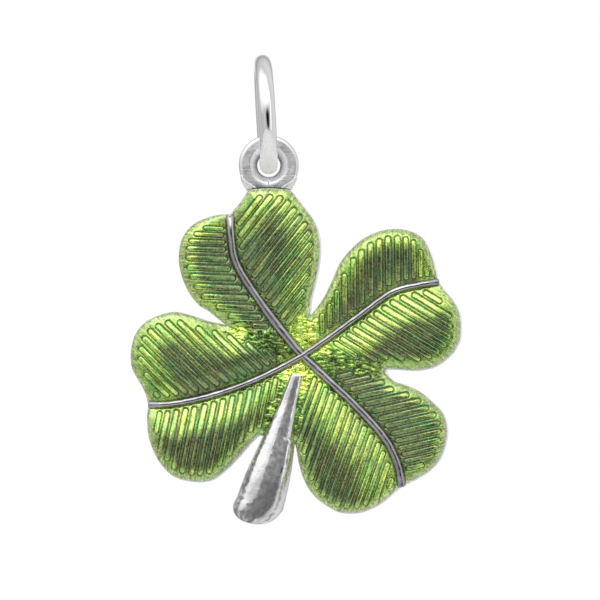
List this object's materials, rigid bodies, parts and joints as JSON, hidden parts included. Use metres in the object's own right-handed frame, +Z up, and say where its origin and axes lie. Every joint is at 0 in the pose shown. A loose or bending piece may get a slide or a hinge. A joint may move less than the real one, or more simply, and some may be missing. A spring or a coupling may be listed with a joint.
{
  "type": "four leaf clover pendant",
  "caption": "Cast silver four leaf clover charm with ribbed green enamel leaves, raised midribs and a teardrop stem, hung by its eyelet on a round jump ring.",
  "frame": {"origin": "inside top of the jump ring, where the pendant hangs on a chain or bracelet link", "axes": "+Z up along the hanging pendant, +X to the right seen from the front, the enamelled front faces -Y"},
  "size_m": [0.0165, 0.006, 0.0236],
  "materials": {
    "silver": "polished sterling silver, slightly darkened in the hollows",
    "enamel": "glossy translucent green enamel over ribs, lime on the crests and olive in the grooves"
  },
  "bodies": {
    "ring": {"jump_ring": "silver"},
    "clover": {"clover_casting": "silver", "top_leaf_left_enamel": "enamel", "top_leaf_right_enamel": "enamel", "right_leaf_upper_enamel": "enamel", "right_leaf_lower_enamel": "enamel", "low_leaf_right_enamel": "enamel", "low_leaf_lower_enamel": "enamel", "left_leaf_lower_enamel": "enamel", "left_leaf_upper_enamel": "enamel"}
  },
  "joints": [
    {"name": "clover_swing", "type": "hinge", "parent": "ring", "child": "clover", "pos_m": [0.00028, 0, -0.00467], "axis": [0, 1, 0], "range_deg": [-90, 90]}
  ]
}
